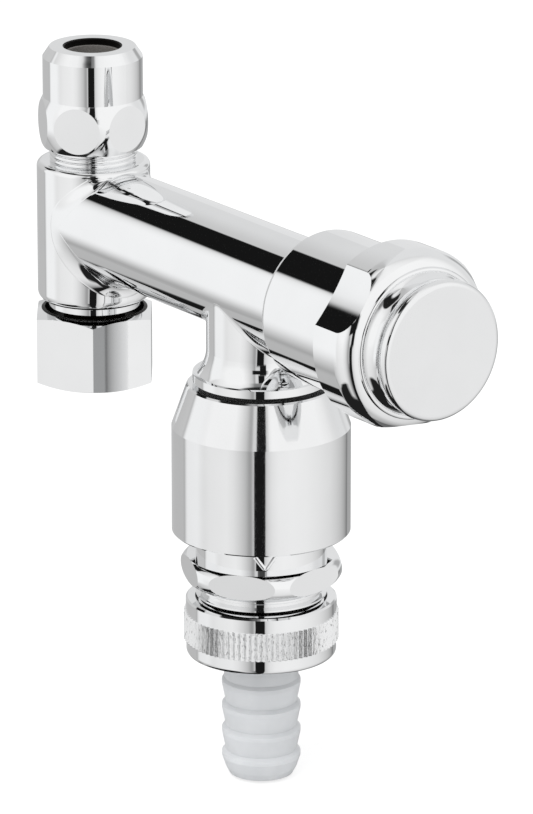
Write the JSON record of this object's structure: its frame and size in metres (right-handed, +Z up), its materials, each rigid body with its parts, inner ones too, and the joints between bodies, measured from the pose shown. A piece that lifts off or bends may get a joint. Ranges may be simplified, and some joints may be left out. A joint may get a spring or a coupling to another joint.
{
  "type": "washing machine tap",
  "caption": "Chromed side-outlet tap for a washing machine: inlet leg with union and pipe nuts, barrel with turning handle, and a hose outlet with backflow preventer and hose tail.",
  "frame": {"origin": "on the axis of the inlet leg, midway along the thread of the lower union nut", "axes": "+Z up along the inlet leg to the pipe socket, +X along the barrel to the handle, +Y the remaining, narrowest direction"},
  "size_m": [0.1298, 0.0362, 0.1399],
  "materials": {
    "chrome": "polished chrome plating",
    "chrome_satin": "softly polished chrome plating",
    "brass": "machined brass",
    "steel": "plain stainless steel",
    "fibre": "grey-brown sealing fibre",
    "rubber": "black nitrile rubber",
    "grey_plastic": "grey acetal",
    "white_plastic": "translucent white plastic"
  },
  "bodies": {
    "tap": {"body_casting": "chrome", "inlet_tailpiece": "brass", "inlet_gasket": "fibre", "headpart_body": "brass", "headpart_seal": "rubber", "shroud": "chrome_satin", "shroud_gasket": "rubber", "outlet_body": "chrome", "outlet_seal": "rubber", "check_cage": "grey_plastic", "check_cage_seal": "rubber", "air_seat": "grey_plastic", "check_spring": "steel"},
    "inlet_union": {"inlet_union_nut": "chrome"},
    "pipe_clamp": {"pipe_seal": "fibre", "pipe_olive": "brass"},
    "pipe_nut": {"compression_nut": "chrome"},
    "handle": {"knob_shell": "chrome", "knob_cap": "chrome_satin", "knob_hub": "grey_plastic", "knob_screw": "steel", "spindle": "brass", "spindle_clip": "steel", "spindle_seal_rear": "rubber", "spindle_seal_front": "rubber"},
    "valve": {"valve_plunger": "brass", "valve_washer": "rubber", "washer_screw": "steel"},
    "check_valve": {"check_poppet": "grey_plastic", "poppet_seal": "rubber"},
    "air_valve": {"air_valve_ring": "rubber"},
    "hose_tail": {"hose_nozzle": "white_plastic", "nozzle_gasket": "rubber"},
    "hose_union": {"hose_nut": "chrome"}
  },
  "joints": [
    {"name": "inlet_union_swivel", "type": "hinge", "parent": "tap", "child": "inlet_union", "pos_m": [0, 0, 0], "axis": [0, 0, 1], "continuous": true},
    {"name": "pipe_clamp_lift", "type": "slide", "parent": "tap", "child": "pipe_clamp", "axis": [0, 0, 1], "range_m": [0, 0.00268]},
    {"name": "compression_nut_turn", "type": "hinge", "parent": "pipe_clamp", "child": "pipe_nut", "pos_m": [0, 0, 0.053], "axis": [0, 0, 1], "range_deg": [0, 720]},
    {"name": "handle_turn", "type": "hinge", "parent": "tap", "child": "handle", "pos_m": [0.1, 0, 0.0316], "axis": [1, 0, 0], "range_deg": [0, 900]},
    {"name": "valve_travel", "type": "slide", "parent": "tap", "child": "valve", "axis": [1, 0, 0], "range_m": [0, 0.004]},
    {"name": "check_valve_travel", "type": "slide", "parent": "tap", "child": "check_valve", "axis": [0, 0, -1], "range_m": [0, 0.003], "stiffness_N_per_m": 100, "springref_m": -0.004, "deforming": ["check_spring"]},
    {"name": "air_valve_lift", "type": "slide", "parent": "tap", "child": "air_valve", "axis": [0, 0, 1], "range_m": [0, 0.0012]},
    {"name": "hose_tail_drop", "type": "slide", "parent": "tap", "child": "hose_tail", "axis": [0, 0, -1], "range_m": [0, 0.00545]},
    {"name": "hose_nut_turn", "type": "hinge", "parent": "hose_tail", "child": "hose_union", "pos_m": [0.0583, 0, -0.042], "axis": [0, 0, -1], "range_deg": [0, 1080]}
  ],
  "couplings": [
    {"joint": "pipe_clamp_lift", "follows": "compression_nut_turn", "m_per_rad": 0.00021279},
    {"joint": "valve_travel", "follows": "handle_turn", "m_per_rad": 0.00025464},
    {"joint": "hose_tail_drop", "follows": "hose_nut_turn", "m_per_rad": 0.00028871}
  ]
}
